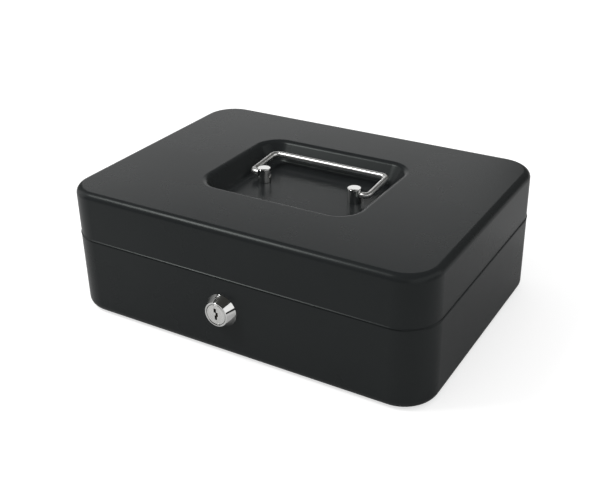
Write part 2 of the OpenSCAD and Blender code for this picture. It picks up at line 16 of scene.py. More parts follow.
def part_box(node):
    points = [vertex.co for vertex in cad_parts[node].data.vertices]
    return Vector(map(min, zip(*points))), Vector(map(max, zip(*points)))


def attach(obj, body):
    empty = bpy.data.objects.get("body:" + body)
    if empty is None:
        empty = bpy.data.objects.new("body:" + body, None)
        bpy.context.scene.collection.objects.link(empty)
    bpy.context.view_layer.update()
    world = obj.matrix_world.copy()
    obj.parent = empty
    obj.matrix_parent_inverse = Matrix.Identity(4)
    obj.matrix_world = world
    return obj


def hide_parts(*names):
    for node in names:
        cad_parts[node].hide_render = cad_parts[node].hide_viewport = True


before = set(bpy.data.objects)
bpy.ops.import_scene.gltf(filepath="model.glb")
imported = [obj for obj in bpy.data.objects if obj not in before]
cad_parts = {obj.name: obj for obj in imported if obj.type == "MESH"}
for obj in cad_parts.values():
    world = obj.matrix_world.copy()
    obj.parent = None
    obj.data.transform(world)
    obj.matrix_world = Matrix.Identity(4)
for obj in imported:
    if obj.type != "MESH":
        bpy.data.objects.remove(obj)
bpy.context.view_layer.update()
MM = 0.001

# %% [markdown]
# ## Measures
# A drawn box is described by a few outlines: how wide and deep it is, the radius of its
# upright corners and the heights where the sheet bends. Widths, depths and top heights are
# read from the boxes of the frame's nodes, so the dressed shells are as large as the plain
# ones. The radii and the heights of the bends cannot be read from a box, so they are named
# here. The lid's trimmed edge is one of them: it hangs a little lower than in the plain
# model, and the base's shoulder is lower to match.

# %% Sizes of the shells, from the frame
lid_low, lid_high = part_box("lid_shell")
base_low, base_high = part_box("base_shell")
LID_W = lid_high[0] - lid_low[0]
LID_D = lid_high[1] - lid_low[1]
LID_TOP = lid_high[2]
BASE_W = base_high[0] - base_low[0]
BASE_D = base_high[1] - base_low[1]
LIP_TOP = base_high[2]
print("lid", [round(v / MM, 1) for v in (LID_W, LID_D, LID_TOP)], "base", round(BASE_W / MM, 1))

# %% Bends and edges of the shells
SHEET = 1.0 * MM
LID_CORNER = 22.5 * MM
BASE_CORNER = LID_CORNER - (LID_W - BASE_W) / 2
LID_EDGE_R = 4.7 * MM
BASE_EDGE_R = 6.0 * MM
LID_EDGE_Z = 53.0 * MM      # the lid's trimmed edge
EDGE_FLARE = 0.42 * MM      # how far that edge stands out from the wall
EDGE_SLOPE = math.radians(40)
EDGE_BAND = 0.12 * MM       # the upright rim of the edge
LID_DRAFT = 0.05 * MM       # the wall leans in by this much towards the top
WALL_TOP_Z = 51.6 * MM      # where the base's wall starts to turn into the shoulder
LIP_IN = 1.8 * MM           # the upstand's outer face, in from the base's outer face
print("corners", round(LID_CORNER / MM, 2), "and", round(BASE_CORNER / MM, 2), "mm")

# %% The handle pan
PAN_W, PAN_D = 115.0 * MM, 92.0 * MM
PAN_Y = 1.5 * MM
PAN_CORNER = 18.0 * MM
PAN_DEPTH = 12.5 * MM
PAN_SLOPE = math.radians(54)
PAN_LIP_R = 4.5 * MM
PAN_FLOOR_R = 3.5 * MM
PAN_Z = LID_TOP - PAN_DEPTH
TOP_SAG = 0.05 * MM         # the lid's top falls by this much towards the pan
print("pan floor at", round(PAN_Z / MM, 2), "mm")

# %% Room for the hinge
HINGE_Y, HINGE_Z = 87.8 * MM, 54.3 * MM
RELIEF = 2.6 * MM           # the lid ends this far above the hinge's axis, the base below it
RELIEF_Y = HINGE_Y - RELIEF / 2
print("the shells are cut back behind", round(RELIEF_Y / MM, 2), "mm")

# %% [markdown]
# ## The camera
# The camera stands in front and to the right, a little above the lid, with a lens of
# about 56 mm. A level camera would make every upright parallel to the frame; this one
# looks down by 27 degrees, so the uprights draw together towards the bottom. It is placed
# by two angles and a distance round a point in the box, which is how a product shot is
# set up, and a small roll and shift finish the framing.

# %% Camera
CAM_TURN = math.radians(30.805)
CAM_LIFT = math.radians(27.031)
CAM_ROLL = math.radians(-1.018)
CAM_DISTANCE = 610.779 * MM
CAM_TARGET = Vector((0, 0, 45 * MM))
FRAME_PX = 600              # the picture's width
FOCAL_PX = 930.202          # the lens, in pixels of that picture
OFFSET_PX = (6.15, -8.955)  # how far the lens's axis is from the picture's middle
SENSOR_WIDTH = 36           # in mm, as Blender counts it

cam_data = bpy.data.cameras.new("camera")
cam_data.sensor_fit = "HORIZONTAL"
cam_data.sensor_width = SENSOR_WIDTH
cam_data.lens = FOCAL_PX / FRAME_PX * SENSOR_WIDTH
cam_data.shift_x = -OFFSET_PX[0] / FRAME_PX
cam_data.shift_y = OFFSET_PX[1] / FRAME_PX
cam_data.clip_start = 10 * MM
camera = bpy.data.objects.new("camera", cam_data)
bpy.context.scene.collection.objects.link(camera)
back = Vector((
    math.sin(CAM_TURN) * math.cos(CAM_LIFT),
    -math.cos(CAM_TURN) * math.cos(CAM_LIFT),
    math.sin(CAM_LIFT),
))
right = (-back).cross(Vector((0, 0, 1))).normalized()
up = right.cross(-back)
right_rolled = math.cos(CAM_ROLL) * right + math.sin(CAM_ROLL) * up
up_rolled = math.cos(CAM_ROLL) * up - math.sin(CAM_ROLL) * right
turned = Matrix((right_rolled, up_rolled, back)).transposed()
camera.matrix_world = Matrix.Translation(CAM_TARGET + back * CAM_DISTANCE) @ turned.to_4x4()
bpy.context.scene.camera = camera
print("camera at", [round(v, 3) for v in camera.location], "lens", round(cam_data.lens, 2))

# %% [markdown]
# ## The studio
# Black semi-matte paint shows little colour of its own: what the eye reads as its shape is
# the soft reflection of what stands round it. So the studio is simple: a white sweep all
# round, one soft lamp high at the front left, and a few dark flags. Flags are black cloth
# on a frame, put up so that bright metal and soft edges get dark lines to end on. Only
# mirrors see them here, so they take no light off the box. The camera sees the sweep and
# the floor as plain white, which is done with Light Path and not with more light.

# %% Studio helpers
def link(obj):
    bpy.context.scene.collection.objects.link(obj)
    return obj


def area_lamp(name, place, aim, size, power):
    """A rectangular soft lamp at place, facing aim."""
    data = bpy.data.lights.new(name, "AREA")
    data.shape = "RECTANGLE"
    data.size, data.size_y = size
    data.energy = power
    lamp = link(bpy.data.objects.new(name, data))
    lamp.location = place
    lamp.rotation_euler = (Vector(aim) - Vector(place)).to_track_quat("-Z", "Y").to_euler()
    return lamp


def by_ray(tree, camera, mirror, bounce):
    """A number that differs for camera rays, for mirror and glass rays and for bounced light."""
    path = tree.nodes.new("ShaderNodeLightPath")
    total = bounce
    rays = (("Is Glossy Ray", mirror), ("Is Transmission Ray", mirror), ("Is Camera Ray", camera))
    for label, value in rays:
        choose = tree.nodes.new("ShaderNodeMix")
        tree.links.new(path.outputs[label], choose.inputs["Factor"])
        if isinstance(total, (int, float)):
            choose.inputs["A"].default_value = total
        else:
            tree.links.new(total, choose.inputs["A"])
        choose.inputs["B"].default_value = value
        total = choose.outputs["Result"]
    return total


def stage_card(name, width, depth, place, aim=None):
    """A flat card that belongs to the studio and not to the box."""
    bm = bmesh.new()
    turn = Matrix.Identity(4)
    if aim is not None:
        turn = (Vector(aim) - Vector(place)).to_track_quat("Z", "Y").to_matrix().to_4x4()
    size = Matrix.Diagonal((width / 2, depth / 2, 1, 1))
    bmesh.ops.create_grid(
        bm, x_segments=1, y_segments=1, size=1, matrix=Matrix.Translation(place) @ turn @ size
    )
    mesh = bpy.data.meshes.new(name)
    bm.to_mesh(mesh)
    bm.free()
    card = link(bpy.data.objects.new(name, mesh))
    return card


def matt_grey(name, tone, glow_tone):
    """A grey without any gloss, which may glow. Returns the material and its shader."""
    material = bpy.data.materials.new(name)
    material.use_nodes = True
    shader = material.node_tree.nodes["Principled BSDF"]
    shader.inputs["Base Color"].default_value = (tone, tone, tone, 1)
    shader.inputs["Roughness"].default_value = 1.0
    shader.inputs["Specular IOR Level"].default_value = 0.0
    shader.inputs["Emission Color"].default_value = (*glow_tone, 1)
    return material, shader


# %% The white sweep
WHITE = (1.0, 1.0, 1.0)
SKY_SEEN = 1.0              # the sweep for the camera and for mirrors: plain white
SKY_BOUNCE = 0.85           # the sweep as a light

world = bpy.data.worlds.new("studio")
bpy.context.scene.world = world
world.use_nodes = True
world_tree = world.node_tree
sweep = world_tree.nodes["Background"]
sky_strength = by_ray(world_tree, SKY_SEEN, SKY_SEEN, SKY_BOUNCE)
world_tree.links.new(sky_strength, sweep.inputs["Strength"])
sweep.inputs["Color"].default_value = (*WHITE, 1)
print("sweep:", world.name)

# %% The floor
FLOOR_SIZE = 8.0
FLOOR_TONE = 0.54
FLOOR_LIFT = 0.62           # what is added for the camera
FLOOR_GLOW = 0.0            # what is added for mirrors and glass

floor = stage_card("floor", FLOOR_SIZE, FLOOR_SIZE, (0, 0, 0))
floor_material, paper = matt_grey("floor_paper", FLOOR_TONE, WHITE)
floor_tree = floor_material.node_tree
floor_strength = by_ray(floor_tree, FLOOR_LIFT, FLOOR_GLOW, 0.0)
floor_tree.links.new(floor_strength, paper.inputs["Emission Strength"])
floor.data.materials.append(floor_material)
print("floor:", FLOOR_SIZE, "m wide")

# %% Flags
FLAG_TONE = 0.02
FLAG_GLOW_TONE = (1.0, 1.0, 0.9)
# name: (width, height, place, point that it faces, glow), in metres. A glow above 0 makes a
# flag grey, and not black, in the mirrors that see it.
FLAGS = {
    "ceiling": (2.65, 3.0, (-0.19, 0.25, 1.25), None, 0.03),
    "flag_front": (3.2, 1.3, (-0.3, -1.45, 0.68), (0, 0, 0.68), 0.0),
    "flag_right": (1.7, 1.2, (0.45, 1.38, 0.68), (0, 0, 0.68), 0.1),
    "flag_left": (0.7, 1.25, (-1.40, 0.50, 0.66), (0, 0, 0.66), 0.1),
    "flag_low": (1.0, 0.26, (1.25, 0.1, 0.13), (0, 0, 0.13), 0.0),
}

for flag_name, (width, height, place, aim, glow) in FLAGS.items():
    flag = stage_card(flag_name, width, height, place, aim)
    cloth_material, cloth = matt_grey(flag_name + "_cloth", FLAG_TONE, FLAG_GLOW_TONE)
    cloth.inputs["Emission Strength"].default_value = glow
    flag.data.materials.append(cloth_material)
    flag.visible_camera = False
    flag.visible_diffuse = False
    flag.visible_shadow = False
print("flags:", sorted(FLAGS))

# %% The lamp
KEY_PLACE = (-0.70, -0.47, 1.10)
KEY_AIM = (0, 0, 0.08)
KEY_SIZE = (0.42, 0.40)
KEY_POWER = 8.5

key = area_lamp("key", KEY_PLACE, KEY_AIM, KEY_SIZE, KEY_POWER)
bpy.context.scene.view_settings.view_transform = "Standard"
print("lamp:", key.name, KEY_POWER, "W")

# %% [markdown]
# ## Shared effects
# Three effects are used by more than one finish, so each is a node group that is built
# once. The grain group stands for the fine pebbling of a baked powder coat or a textured
# mould. The handling group puts out a soft, patchy mask for fingerprints and haze. The
# dust group is a mask of what settles on faces that look up. All are made of noise in the
# object's own coordinates, so they keep their real size on every piece, where a picture
# would be stretched.

# %% Node group helpers
def new_group(name, out, **ins):
    """A node group with a vector and some floats going in, with defaults, and a float out."""
    tree = bpy.data.node_groups.new(name, "ShaderNodeTree")
    tree.interface.new_socket("Vector", in_out="INPUT", socket_type="NodeSocketVector")
    for label, default in ins.items():
        item = tree.interface.new_socket(label, in_out="INPUT", socket_type="NodeSocketFloat")
        item.default_value = default
    tree.interface.new_socket(out, in_out="OUTPUT", socket_type="NodeSocketFloat")
    return tree, tree.nodes.new("NodeGroupInput"), tree.nodes.new("NodeGroupOutput")


def noise(tree, vector, scale, detail, rough=0.5):
    """A noise texture, with its coordinates and its scale from sockets."""
    node = tree.nodes.new("ShaderNodeTexNoise")
    node.inputs["Detail"].default_value = detail
    node.inputs["Roughness"].default_value = rough
    tree.links.new(vector, node.inputs["Vector"])
    tree.links.new(scale, node.inputs["Scale"])
    return node.outputs["Fac"]


def math_node(tree, operation, a, b):
    """One Math node; a and b may be numbers or sockets."""
    node = tree.nodes.new("ShaderNodeMath")
    node.operation = operation
    for slot_no, value in enumerate((a, b)):
        if isinstance(value, (int, float)):
            node.inputs[slot_no].default_value = value
        else:
            tree.links.new(value, node.inputs[slot_no])
    return node.outputs[0]


def remap(tree, value, source, target=(0.0, 1.0)):
    """Stretches value from the range source to the range target and clamps it there."""
    node = tree.nodes.new("ShaderNodeMapRange")
    for label, number in zip(("From Min", "From Max", "To Min", "To Max"), (*source, *target)):
        node.inputs[label].default_value = number
    tree.links.new(value, node.inputs["Value"])
    return node.outputs["Result"]


# %% Grain group
PEEL_SHARE = 1.6            # how much the wide ripple adds to the fine pebble


def grain_group():
    tree, ins, outs = new_group("fine_grain", "Height", Scale=1500.0, Peel=220.0)
    fine = noise(tree, ins.outputs["Vector"], ins.outputs["Scale"], detail=2.0)
    peel = noise(tree, ins.outputs["Vector"], ins.outputs["Peel"], detail=1.0)
    ripple = math_node(tree, "MULTIPLY", peel, PEEL_SHARE)
    tree.links.new(math_node(tree, "ADD", fine, ripple), outs.inputs["Height"])
    return tree


GRAIN = grain_group()
print("group:", GRAIN.name)

# %% Handling group
HAZE_BAND = (0.42, 0.68)    # the haze fades in between these values of the noise


def handling_group():
    tree, ins, outs = new_group("handling_haze", "Mask", Scale=14.0)
    patches = noise(tree, ins.outputs["Vector"], ins.outputs["Scale"], detail=5.0, rough=0.6)
    tree.links.new(remap(tree, patches, HAZE_BAND), outs.inputs["Mask"])
    return tree


HAZE = handling_group()
print("group:", HAZE.name)

# %% Dust group
DUST_FACING = (0.6, 1.0)    # how far up a face looks where dust starts, and where it is full
SPECK_BAND = (0.66, 0.8)    # only the peaks of the noise are specks


def dust_group():
    tree, ins, outs = new_group("settled_dust", "Mask", Scale=900.0)
    geometry = tree.nodes.new("ShaderNodeNewGeometry")
    facing = tree.nodes.new("ShaderNodeSeparateXYZ")
    tree.links.new(geometry.outputs["Normal"], facing.inputs[0])
    upward = remap(tree, facing.outputs["Z"], DUST_FACING)
    cloud = noise(tree, ins.outputs["Vector"], ins.outputs["Scale"], detail=2.0)
    specks = remap(tree, cloud, SPECK_BAND)
    tree.links.new(math_node(tree, "MULTIPLY", upward, specks), outs.inputs["Mask"])
    return tree


DUST = dust_group()
print("group:", DUST.name)

# %% [markdown]
# ## Finishes
# Each finish starts from the same small base: a Principled shader with a colour and a
# roughness that a mask moves a little, and on most a bump from the grain. Constants are set
# on the shader's own sockets. Colours that vary are mixed from the masks, so a surface
# is never one flat tone, but the change is small, as on a new box.

# %% Finish helpers
DUST_TONE = (0.11, 0.11, 0.105)


def group_node(tree, group, vector, **values):
    """Places a node group that reads vector, with its own value for each named input."""
    node = tree.nodes.new("ShaderNodeGroup")
    node.node_tree = group
    tree.links.new(vector, node.inputs["Vector"])
    for label, number in values.items():
        node.inputs[label].default_value = number
    return node.outputs[0]


def mix_colour(tree, mask, first, second):
    """first where the mask is 0, second where it is 1; both are (r, g, b) or sockets."""
    node = tree.nodes.new("ShaderNodeMix")
    node.data_type = "RGBA"
    tree.links.new(mask, node.inputs[0])
    for socket, value in ((node.inputs[6], first), (node.inputs[7], second)):
        if isinstance(value, tuple):
            socket.default_value = (*value, 1)
        else:
            tree.links.new(value, socket)
    return node.outputs[2]


def dusted(tree, coords, colour, scale, share):
    """The colour with specks of settled dust, of which a share shows."""
    specks = group_node(tree, DUST, coords, Scale=scale)
    return mix_colour(tree, math_node(tree, "MULTIPLY", specks, share), colour, DUST_TONE)


def finish_base(name, metallic, specular=0.5):
    """A new material, with its tree, its Principled shader and its Object coordinates."""
    material = bpy.data.materials.new(name)
    material.use_nodes = True
    tree = material.node_tree
    shader = tree.nodes["Principled BSDF"]
    shader.inputs["Metallic"].default_value = metallic
    shader.inputs["Specular IOR Level"].default_value = specular
    coords = tree.nodes.new("ShaderNodeTexCoord").outputs["Object"]
    return material, tree, shader, coords


def colour_into(tree, shader, colour):
    tree.links.new(colour, shader.inputs["Base Color"])


def roughness_into(tree, shader, mask, span):
    """A roughness that runs through span as the mask goes from 0 to 1."""
    tree.links.new(remap(tree, mask, (0.0, 1.0), span), shader.inputs["Roughness"])


def bump_into(tree, shader, height, strength, distance):
    bump = tree.nodes.new("ShaderNodeBump")
    bump.inputs["Strength"].default_value = strength
    bump.inputs["Distance"].default_value = distance
    tree.links.new(height, bump.inputs["Height"])
    tree.links.new(bump.outputs[0], shader.inputs["Normal"])


# %% [markdown]
# ### Powder coat
# The paint is a dry powder that is sprayed on and baked, which leaves an even, semi-matte
# black skin with a very fine pebble. Modelling the pebble would take millions of faces, so
# it is a bump. The gloss is set low. Its reflection is tinted slightly green, which is a painted
# reflection of greenish light round the box, and a trace of dust lies on what looks up.

# %% Powder coat
PAINT_TONE = (0.0145, 0.0160, 0.0167)
PAINT_HAZE = (0.0162, 0.0178, 0.0185)
PAINT_ROUGHNESS = (0.27, 0.31)
PAINT_GLOSS = 0.15
# painted reflection: this green tint stands for greenish light round the box, not for the paint's own
# colour
PAINTED_REFLECTION_TINT = (0.93, 1.0, 0.96)


def powder_coat():
    material, tree, shader, coords = finish_base("powder_coat", 0.0, PAINT_GLOSS)
    grain = group_node(tree, GRAIN, coords, Scale=1700.0, Peel=260.0)
    haze = group_node(tree, HAZE, coords, Scale=11.0)
    toned = mix_colour(tree, haze, PAINT_TONE, PAINT_HAZE)
    colour_into(tree, shader, dusted(tree, coords, toned, scale=1100.0, share=0.12))
    roughness_into(tree, shader, haze, PAINT_ROUGHNESS)
    # the painted green reflection tint goes on the paint's gloss here
    shader.inputs["Specular Tint"].default_value = (*PAINTED_REFLECTION_TINT, 1)
    bump_into(tree, shader, grain, strength=0.12, distance=0.05 * MM)
    return material


PAINT = powder_coat()
print("finish:", PAINT.name)

# %% [markdown]
# ### Bright metals
# The lock and the handle are chromed, the hardware inside is zinc plated, and the lock's
# wafers are stamped from brass. A metal has no colour but that of its reflection, so what
# tells these apart is tone and roughness: chrome is almost a mirror, the wire under its
# chrome is rougher, and zinc is cloudy with a fine crystal grain.

# %% Bright metals
DULLED = 0.93               # how much of its tone chrome keeps where it has been held
HELD_ROUGHNESS = 0.05       # and how much roughness that adds
ZINC_TONE, ZINC_CLOUD = (0.52, 0.53, 0.54), (0.42, 0.43, 0.43)
BRASS_TONE, BRASS_CLOUD = (0.60, 0.44, 0.18), (0.45, 0.32, 0.13)


def chrome(name, roughness, tone):
    material, tree, shader, coords = finish_base(name, 1.0)
    haze = group_node(tree, HAZE, coords, Scale=90.0)
    dulled = tuple(channel * DULLED for channel in tone)
    colour_into(tree, shader, mix_colour(tree, haze, tone, dulled))
    roughness_into(tree, shader, haze, (roughness, roughness + HELD_ROUGHNESS))
    return material


def zinc_plate():
    material, tree, shader, coords = finish_base("zinc_plate", 1.0)
    cloud = group_node(tree, HAZE, coords, Scale=160.0)
    grain = group_node(tree, GRAIN, coords, Scale=2600.0, Peel=700.0)
    colour_into(tree, shader, mix_colour(tree, cloud, ZINC_TONE, ZINC_CLOUD))
    roughness_into(tree, shader, cloud, (0.28, 0.42))
    bump_into(tree, shader, grain, strength=0.1, distance=0.04 * MM)
    return material


def stamped_brass():
    material, tree, shader, coords = finish_base("stamped_brass", 1.0)
    cloud = group_node(tree, HAZE, coords, Scale=300.0)
    colour_into(tree, shader, mix_colour(tree, cloud, BRASS_TONE, BRASS_CLOUD))
    roughness_into(tree, shader, cloud, (0.25, 0.4))
    return material


CHROME = chrome("chrome_plate", roughness=0.05, tone=(0.80, 0.80, 0.79))
WIRE_CHROME = chrome("chrome_wire", roughness=0.34, tone=(0.88, 0.88, 0.87))
ZINC = zinc_plate()
BRASS = stamped_brass()
print("finishes:", [m.name for m in (CHROME, WIRE_CHROME, ZINC, BRASS)])

# %% [markdown]
# ### Moulded plastic
# The tray is black polystyrene. Its mould is spark eroded, which prints a fine texture on
# every face. So it gets the same grain as the paint on a finer scale, and it is duller.

# %% Moulded plastic
PLASTIC_TONE, PLASTIC_HAZE = (0.022, 0.023, 0.025), (0.028, 0.029, 0.031)


def moulded_plastic():
    material, tree, shader, coords = finish_base("moulded_plastic", 0.0)
    grain = group_node(tree, GRAIN, coords, Scale=2200.0, Peel=900.0)
    haze = group_node(tree, HAZE, coords, Scale=20.0)
    toned = mix_colour(tree, haze, PLASTIC_TONE, PLASTIC_HAZE)
    colour_into(tree, shader, dusted(tree, coords, toned, scale=1300.0, share=0.15))
    roughness_into(tree, shader, haze, (0.42, 0.52))
    bump_into(tree, shader, grain, strength=0.2, distance=0.06 * MM)
    return material


PLASTIC = moulded_plastic()
print("finish:", PLASTIC.name)

# %% [markdown]
# ### The plug's face
# A lock plug is faced on a lathe, so its front carries fine rings about its own axis. A
# Mapping node moves the origin of the Object coordinates to that axis, and a ring wave
# then follows the tool's path.

# %% Turned face
LOCK_X, LOCK_Y, LOCK_Z = -5.75 * MM, -89.8 * MM, 31.25 * MM
NICKEL_TONE, NICKEL_HAZE = (0.85, 0.85, 0.83), (0.76, 0.76, 0.74)


def turned_face():
    material, tree, shader, coords = finish_base("turned_nickel", 1.0)
    centre = tree.nodes.new("ShaderNodeMapping")
    centre.inputs["Location"].default_value = (-LOCK_X, -LOCK_Y, -LOCK_Z)
    tree.links.new(coords, centre.inputs["Vector"])
    rings = tree.nodes.new("ShaderNodeTexWave")
    rings.wave_type = "RINGS"
    rings.rings_direction = "Y"
    rings.inputs["Scale"].default_value = 900.0
    rings.inputs["Distortion"].default_value = 0.4
    tree.links.new(centre.outputs[0], rings.inputs["Vector"])
    haze = group_node(tree, HAZE, coords, Scale=260.0)
    colour_into(tree, shader, mix_colour(tree, haze, NICKEL_TONE, NICKEL_HAZE))
    roughness_into(tree, shader, rings.outputs["Fac"], (0.24, 0.34))
    bump_into(tree, shader, rings.outputs["Fac"], strength=0.05, distance=0.02 * MM)
    return material


TURNED = turned_face()
print("finish:", TURNED.name)

# %% [markdown]
# ## Small hardware that is already right
# Nuts, washers, screws, hinge leaves and the like have their true shape in the frame. They
# keep their meshes and only get a finish. The other nodes are replaced further down.

# %% Finishes for carried-over nodes
NODE_FINISH = {
    "hinge_leaf_base": PAINT, "hinge_leaf_lid": PAINT, "hinge_pin": ZINC,
    "tray_ledge_left": PAINT, "tray_ledge_right": PAINT,
    "lock_washer": ZINC, "lock_nut": ZINC, "lid_catch": ZINC,
    "post_washers": ZINC, "post_screws": ZINC,
    "lock_wafers": BRASS, "lock_wafer_springs": ZINC,
    "lock_cam": ZINC, "cam_washer": ZINC, "cam_screw": ZINC,
}

for node_name, node_finish in NODE_FINISH.items():
    for material_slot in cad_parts[node_name].material_slots:
        material_slot.material = node_finish
print("dressed nodes:", len(NODE_FINISH))

# %% [markdown]
# ## How a sheet-metal shell is built
# A drawn shell is one sheet that bends along a few outlines. So it is modelled as those
# outlines: each is a rectangle whose corners are rounded with a vertex bevel, all have the
# same number of points, and neighbouring outlines are bridged. The sharp folds are
# then rounded with an edge bevel, the cut-outs are made with bisecting planes, and a
# Solidify modifier gives the sheet its thickness. Boxes and booleans would also work,
# but they leave long thin faces along the soft edges, where the highlights run.
#
# Two neighbouring outlines never lie at quite the same height. In a level pair nothing but
# rounding error tells the bridge which way round its loops go, and it may twist. So a flat
# stretch of sheet, such as the lid's top, falls or climbs by a few hundredths of a
# millimetre.

# %% Outline helpers
CORNER_STEPS = 14
FOLD_STEPS = 10
WELD = 1e-7                 # points that are closer than this, in metres, are one


def unique(items):
    """The items without repeats, in the order in which they first come."""
    return list(dict.fromkeys(items))


def outline(bm, width, depth, radius, z, inset=0.0, centre_y=0.0):
    """A flat face with round corners at height z, drawn inset from a size. Returns the face."""
    half = ((width - 2 * inset) / 2, (depth - 2 * inset) / 2)
    place = Matrix.Translation((0, centre_y, z)) @ Matrix.Diagonal((*half, 1, 1))
    made = bmesh.ops.create_grid(bm, x_segments=1, y_segments=1, size=1, matrix=place)
    rounded = bmesh.ops.bevel(
        bm, geom=made["verts"], offset=radius - inset, segments=CORNER_STEPS, profile=0.5,
        affect="VERTICES", material=-1, clamp_overlap=False,
    )
    points = {v for v in rounded["verts"] if v.is_valid}
    return next(f for f in bm.faces if points <= set(f.verts))


def open_loop(bm, face):
    """Removes the face and returns its border edges."""
    edges = list(face.edges)
    bmesh.ops.delete(bm, geom=[face], context="FACES_ONLY")
    return edges


def bridge(bm, first, second):
    bmesh.ops.bridge_loops(bm, edges=first + second)


def round_fold(bm, edges, offset, steps=FOLD_STEPS):
    """Rounds a fold; offset is how far from the sharp corner the rounding starts."""
    bmesh.ops.bevel(
        bm, geom=[e for e in edges if e.is_valid], offset=offset, segments=steps, profile=0.5,
        affect="EDGES", material=-1, clamp_overlap=False,
    )


# %% Cutting a shell back
NEAR_CUT = 1e-5             # faces that come this close to the cut, in metres, count as cut


def region(faces):
    """The faces with their edges and corners, which is what bisect_plane cuts."""
    edges = unique(e for f in faces for e in f.edges)
    corners = unique(v for f in faces for v in f.verts)
    return faces + edges + corners


def cut_back(bm, y_from, z_limit, above):
    """Removes the rear edge of a shell behind y_from, above or below a height."""
    rear = [f for f in bm.faces if max(v.co.y for v in f.verts) > y_from - NEAR_CUT]
    bmesh.ops.bisect_plane(
        bm, geom=region(rear), dist=WELD, plane_co=(0, y_from, 0), plane_no=(0, 1, 0)
    )
    rear = [f for f in bm.faces if f.calc_center_median().y > y_from]
    bmesh.ops.bisect_plane(
        bm, geom=region(rear), dist=WELD, plane_co=(0, 0, z_limit), plane_no=(0, 0, 1)
    )
    gone = []
    for f in bm.faces:
        middle = f.calc_center_median()
        if middle.y > y_from and (middle.z > z_limit) == above:
            gone.append(f)
    bmesh.ops.delete(bm, geom=gone, context="FACES")
    return len(gone)


# %% Finishing a piece
CUT_ROUND = 0.2 * MM        # the rounding of the sheet's cut edges
CUT_ANGLE = math.radians(50)
FLAT_WEIGHT = 50            # large faces decide the normals of their corners


def finished(name, bm, material, body, replaced, clean=True):
    """Turns a bmesh into a piece that rides on a body and stands for some nodes.

    A copy of a node's mesh already points the right way, so it is not cleaned.
    """
    if clean:
        bmesh.ops.remove_doubles(bm, verts=bm.verts, dist=WELD)
        bmesh.ops.recalc_face_normals(bm, faces=bm.faces)
    for face in bm.faces:
        face.smooth = True
    mesh = bpy.data.meshes.new(name)
    bm.to_mesh(mesh)
    bm.free()
    piece = link(bpy.data.objects.new(name, mesh))
    piece.data.materials.append(material)
    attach(piece, body)
    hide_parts(*replaced)
    print(name, "faces:", len(mesh.polygons))
    return piece


def thicken(piece):
    """Sheet thickness inwards, rounded cut edges, and normals that keep the flats flat."""
    solid = piece.modifiers.new("sheet", "SOLIDIFY")
    solid.thickness = SHEET
    solid.offset = -1
    solid.use_even_offset = True
    bevel = piece.modifiers.new("cut_edges", "BEVEL")
    bevel.width = CUT_ROUND
    bevel.segments = 2
    bevel.limit_method = "ANGLE"
    bevel.angle_limit = CUT_ANGLE
    normals = piece.modifiers.new("flat_normals", "WEIGHTED_NORMAL")
    normals.keep_sharp = True
    normals.weight = FLAT_WEIGHT


# %% Cutting a hole
DRILL_SIDES = 48


def cut(piece, cutter):
    """Takes the cutter's shape out of the piece's own mesh and removes the cutter."""
    kept = [(m.name, m.show_viewport) for m in piece.modifiers]
    for m in piece.modifiers:
        m.show_viewport = False
    boolean = piece.modifiers.new("hole", "BOOLEAN")
    boolean.operation = "DIFFERENCE"
    boolean.solver = "EXACT"
    boolean.object = cutter
    depsgraph = bpy.context.evaluated_depsgraph_get()
    whole = bpy.data.meshes.new_from_object(piece.evaluated_get(depsgraph))
    piece.modifiers.remove(boolean)
    for name, shown in kept:
        piece.modifiers[name].show_viewport = shown
    piece.data = whole
    bpy.data.objects.remove(cutter)


def cutter_from(name, bm):
    """An object for cut, made from a bmesh."""
    mesh = bpy.data.meshes.new(name)
    bm.to_mesh(mesh)
    bm.free()
    return link(bpy.data.objects.new(name, mesh))


def drill(piece, centre, axis, radius, length):
    """Cuts a round hole through a finished piece."""
    bm = bmesh.new()
    bmesh.ops.create_cone(
        bm, cap_ends=True, segments=DRILL_SIDES, radius1=radius, radius2=radius, depth=length
    )
    turn = Vector((0, 0, 1)).rotation_difference(Vector(axis)).to_matrix().to_4x4()
    bmesh.ops.transform(bm, verts=bm.verts, matrix=Matrix.Translation(centre) @ turn)
    cut(piece, cutter_from("drill", bm))


# %% [markdown]
# ## The lid
# The lid is six outlines, from the outside in: its trimmed edge, the top of that edge's
# upright rim, the foot of the wall, the top, and the pan's mouth and floor. The trimmed edge
# flares by less than half a millimetre, as a press leaves it. Its slope mirrors the lamp and
# draws the thin bright line round the box, so its borders are marked sharp. Otherwise
# the smoothing of the tall wall would wash over it.
#
# The pan's two outlines lie where its folds would be without a radius. A round fold takes up
# the radius times the tangent of half its angle on both sides of the sharp corner, which is
# how far these outlines are from where the rounding is seen to start or end.

# %% Lid outlines
FLOOR_FOLD_STEPS = 8

half_fold = math.tan(PAN_SLOPE / 2)
lip_in = PAN_LIP_R * half_fold
both_radii = PAN_LIP_R + PAN_FLOOR_R
pan_drop = PAN_DEPTH - both_radii * (1 - math.cos(PAN_SLOPE))
pan_run = pan_drop / math.tan(PAN_SLOPE) + both_radii * math.sin(PAN_SLOPE)
floor_in = pan_run - PAN_FLOOR_R * half_fold
foot_z = LID_EDGE_Z + EDGE_BAND + EDGE_FLARE * math.tan(EDGE_SLOPE)

lid_bm = bmesh.new()
lower = outline(lid_bm, LID_W, LID_D, LID_CORNER, LID_EDGE_Z)
band = outline(lid_bm, LID_W, LID_D, LID_CORNER, LID_EDGE_Z + EDGE_BAND)
wall_foot = outline(lid_bm, LID_W, LID_D, LID_CORNER, foot_z, EDGE_FLARE)
top = outline(lid_bm, LID_W, LID_D, LID_CORNER, LID_TOP, EDGE_FLARE + LID_DRAFT)
pan_lip = outline(lid_bm, PAN_W, PAN_D, PAN_CORNER, LID_TOP - TOP_SAG, lip_in, PAN_Y)
pan_floor = outline(lid_bm, PAN_W, PAN_D, PAN_CORNER, PAN_Z, floor_in, PAN_Y)
print("the pan's wall runs in by", round(pan_run / MM, 2), "mm")

